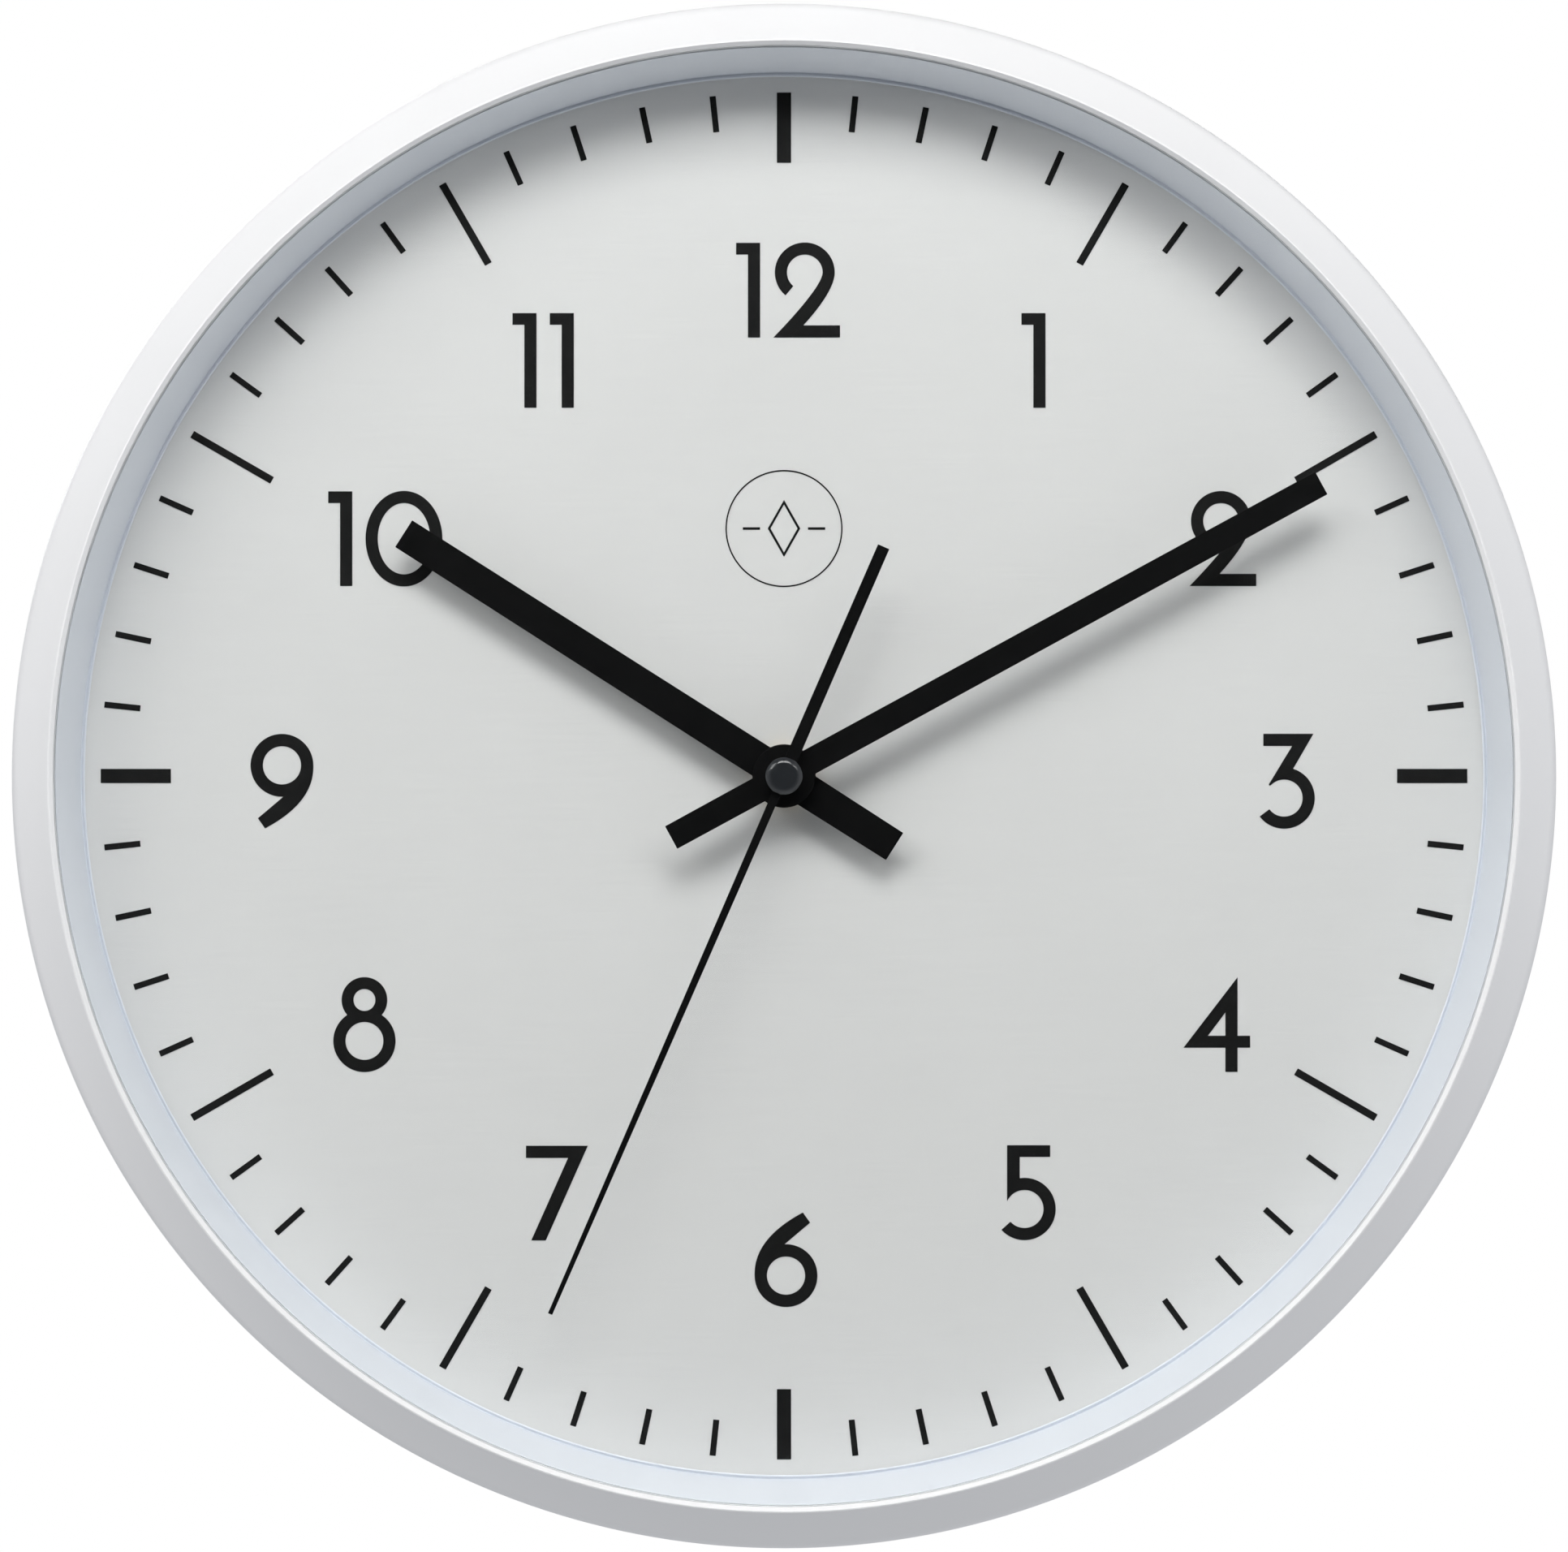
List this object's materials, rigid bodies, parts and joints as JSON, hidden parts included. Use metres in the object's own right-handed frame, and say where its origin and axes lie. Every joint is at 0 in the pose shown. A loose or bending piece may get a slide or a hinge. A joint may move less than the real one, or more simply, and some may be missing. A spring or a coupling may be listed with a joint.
{
  "type": "wall clock",
  "caption": "Round wall clock with a white plastic case and sloping flank, flat glass, printed numerals, plain black hands and a battery quartz movement with its gear train",
  "frame": {"origin": "centre of the back rim's plane, on the hands' axis: the point of the wall behind the centre of the dial", "axes": "+Y points into the wall along the hands' axis, so the dial faces -Y; +Z points to 12 o'clock; +X points to 3 o'clock"},
  "size_m": [0.3, 0.042, 0.3],
  "materials": {
    "case_plastic": "matte",
    "liner_plastic": "matte",
    "lens_glass": "polished",
    "dial_paper": "matte",
    "dial_ink": "matte",
    "backing_plastic": "matte",
    "cover_plastic": "matte",
    "screw_steel": "satin",
    "movement_plastic": "matte",
    "wheel_plastic": "satin",
    "brass_parts": "satin",
    "washer_rubber": "matte",
    "hand_paint": "matte",
    "arbor_steel": "satin",
    "cap_plastic": "gloss",
    "knob_plastic": "satin",
    "magnet": "satin",
    "lamination_steel": "satin",
    "bobbin_plastic": "matte",
    "coil_copper": "gloss",
    "board_laminate": "satin",
    "can_steel": "gloss",
    "chip_resin": "satin",
    "contact_steel": "gloss",
    "battery_label": "gloss"
  },
  "bodies": {
    "clock_frame": {"case_ring": "case_plastic", "spacer_ring": "liner_plastic", "glass_lens": "lens_glass", "dial_sheet": "dial_paper", "hour_numerals": "dial_ink", "hour_marks": "dial_ink", "minute_marks": "dial_ink", "dial_emblem": "dial_ink", "dial_plate": "backing_plastic", "rear_cover": "cover_plastic", "cover_screws": "screw_steel", "movement_front_plate": "movement_plastic", "movement_middle_plate": "wheel_plastic", "movement_rear_case": "movement_plastic", "threaded_bush": "brass_parts", "rubber_washer": "washer_rubber", "brass_washer": "brass_parts", "hex_nut": "brass_parts", "stator": "lamination_steel", "coil_core": "lamination_steel", "coil_bobbin": "bobbin_plastic", "coil_winding": "coil_copper", "motor_screws": "screw_steel", "circuit_board": "board_laminate", "quartz_crystal": "can_steel", "chip_cover": "chip_resin", "battery_contact_positive": "contact_steel", "battery_contact_negative": "contact_steel", "aa_battery": "battery_label"},
    "minute_work": {"minute_hand": "hand_paint", "cannon_pinion": "brass_parts", "minute_wheel": "wheel_plastic"},
    "hour_work": {"hour_hand": "hand_paint", "hour_wheel": "wheel_plastic"},
    "second_work": {"second_hand": "hand_paint", "second_hand_tube": "brass_parts", "second_hand_cap": "cap_plastic", "second_arbor": "arbor_steel", "second_wheel": "wheel_plastic"},
    "third_work": {"third_wheel": "wheel_plastic", "third_arbor": "arbor_steel"},
    "transfer_work": {"transfer_wheel": "wheel_plastic", "transfer_arbor": "arbor_steel", "setting_knob": "knob_plastic"},
    "fifth_work": {"fifth_wheel": "wheel_plastic", "fifth_arbor": "arbor_steel"},
    "rotor_work": {"rotor_magnet": "magnet", "rotor_pinion": "wheel_plastic"}
  },
  "joints": [
    {"name": "minute_hand_spin", "type": "hinge", "parent": "clock_frame", "child": "minute_work", "pos_m": [0, -0.01, 0], "axis": [0, 1, 0], "continuous": true},
    {"name": "hour_hand_spin", "type": "hinge", "parent": "clock_frame", "child": "hour_work", "pos_m": [0, -0.01, 0], "axis": [0, 1, 0], "continuous": true},
    {"name": "second_hand_spin", "type": "hinge", "parent": "clock_frame", "child": "second_work", "pos_m": [0, -0.01, 0], "axis": [0, 1, 0], "continuous": true},
    {"name": "third_wheel_spin", "type": "hinge", "parent": "clock_frame", "child": "third_work", "pos_m": [-0.01205, -0.01, 0.00213], "axis": [0, 1, 0], "continuous": true},
    {"name": "setting_knob_spin", "type": "hinge", "parent": "clock_frame", "child": "transfer_work", "pos_m": [0.01256, -0.01, 0.00336], "axis": [0, 1, 0], "continuous": true},
    {"name": "fifth_wheel_spin", "type": "hinge", "parent": "clock_frame", "child": "fifth_work", "pos_m": [0, -0.01, 0.00875], "axis": [0, 1, 0], "continuous": true},
    {"name": "rotor_spin", "type": "hinge", "parent": "clock_frame", "child": "rotor_work", "pos_m": [0.00078, -0.01, 0.01318], "axis": [0, 1, 0], "continuous": true}
  ],
  "couplings": [
    {"joint": "hour_hand_spin", "follows": "minute_hand_spin", "ratio": 0.083333},
    {"joint": "setting_knob_spin", "follows": "minute_hand_spin", "ratio": -0.33333},
    {"joint": "third_wheel_spin", "follows": "minute_hand_spin", "ratio": -8},
    {"joint": "second_hand_spin", "follows": "minute_hand_spin", "ratio": 60},
    {"joint": "fifth_wheel_spin", "follows": "minute_hand_spin", "ratio": -360},
    {"joint": "rotor_spin", "follows": "minute_hand_spin", "ratio": 1800}
  ]
}
